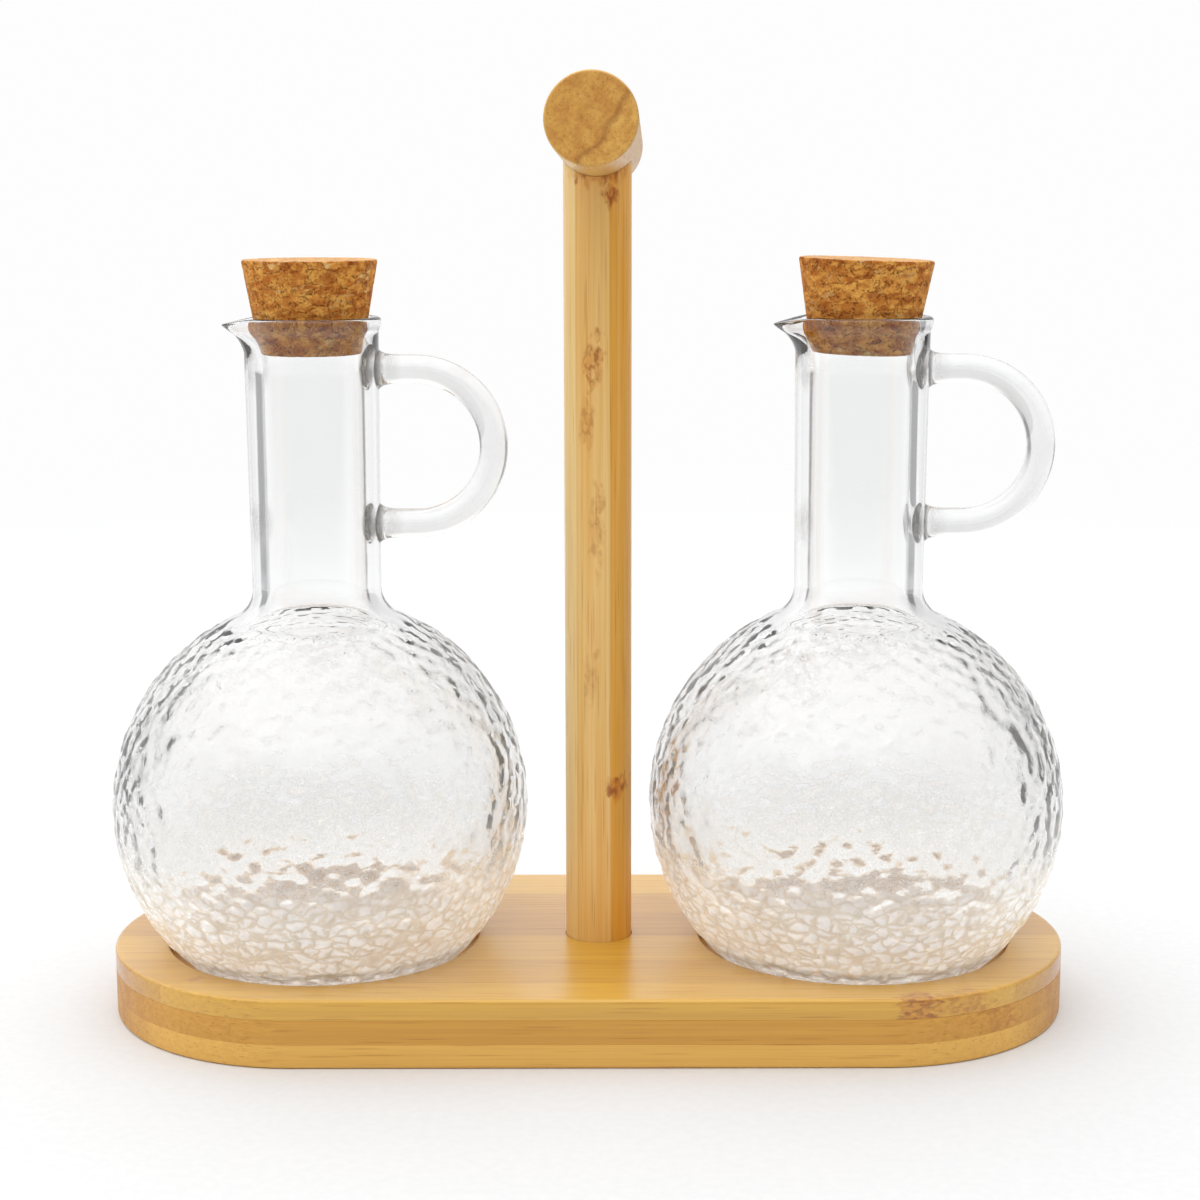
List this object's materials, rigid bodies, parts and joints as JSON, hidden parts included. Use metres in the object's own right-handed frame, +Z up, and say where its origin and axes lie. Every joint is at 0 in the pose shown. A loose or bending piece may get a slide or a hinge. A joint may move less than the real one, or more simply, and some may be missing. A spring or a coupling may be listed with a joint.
{
  "type": "cruet set",
  "caption": "Oil and vinegar cruets of hammered glass with cork stoppers, seated in a laminated bamboo board with a post and crossbar handle.",
  "frame": {"origin": "middle of the board's underside, on the surface that the set stands on", "axes": "+X along the board towards the right cruet, +Y towards the back, +Z up along the post"},
  "size_m": [0.24, 0.104, 0.2298],
  "materials": {
    "top_ply_bamboo": "satin lacquered bamboo, pale strips running lengthways",
    "core_ply_bamboo": "satin lacquered bamboo, darker side-pressed strips",
    "bottom_ply_bamboo": "satin lacquered bamboo",
    "post_bamboo": "satin lacquered bamboo rod of upright strips",
    "crossbar_bamboo": "satin lacquered bamboo rod with open end grain",
    "dowel_wood": "plain turned hardwood",
    "screw_steel": "bright zinc plate",
    "clear_glass": "clear, hammered over the body and smooth on neck and handle",
    "pressed_cork": "matt agglomerated cork with dark flecks"
  },
  "bodies": {
    "stand": {"base_bottom_ply": "bottom_ply_bamboo", "base_core_ply": "core_ply_bamboo", "base_top_ply": "top_ply_bamboo", "post": "post_bamboo", "crossbar": "crossbar_bamboo", "crossbar_dowel": "dowel_wood", "post_screw": "screw_steel"},
    "left_cruet": {"left_bottle": "clear_glass", "left_handle": "clear_glass"},
    "left_cork": {"left_stopper": "pressed_cork"},
    "right_cruet": {"right_bottle": "clear_glass", "right_handle": "clear_glass"},
    "right_cork": {"right_stopper": "pressed_cork"}
  },
  "joints": [
    {"name": "left_cruet_lift", "type": "slide", "parent": "stand", "child": "left_cruet", "axis": [0, 0, 1], "range_m": [0, 0.1]},
    {"name": "left_stopper_pull", "type": "slide", "parent": "left_cruet", "child": "left_cork", "axis": [0, 0, 1], "range_m": [0, 0.04]},
    {"name": "right_cruet_lift", "type": "slide", "parent": "stand", "child": "right_cruet", "axis": [0, 0, 1], "range_m": [0, 0.1]},
    {"name": "right_stopper_pull", "type": "slide", "parent": "right_cruet", "child": "right_cork", "axis": [0, 0, 1], "range_m": [0, 0.04]}
  ]
}
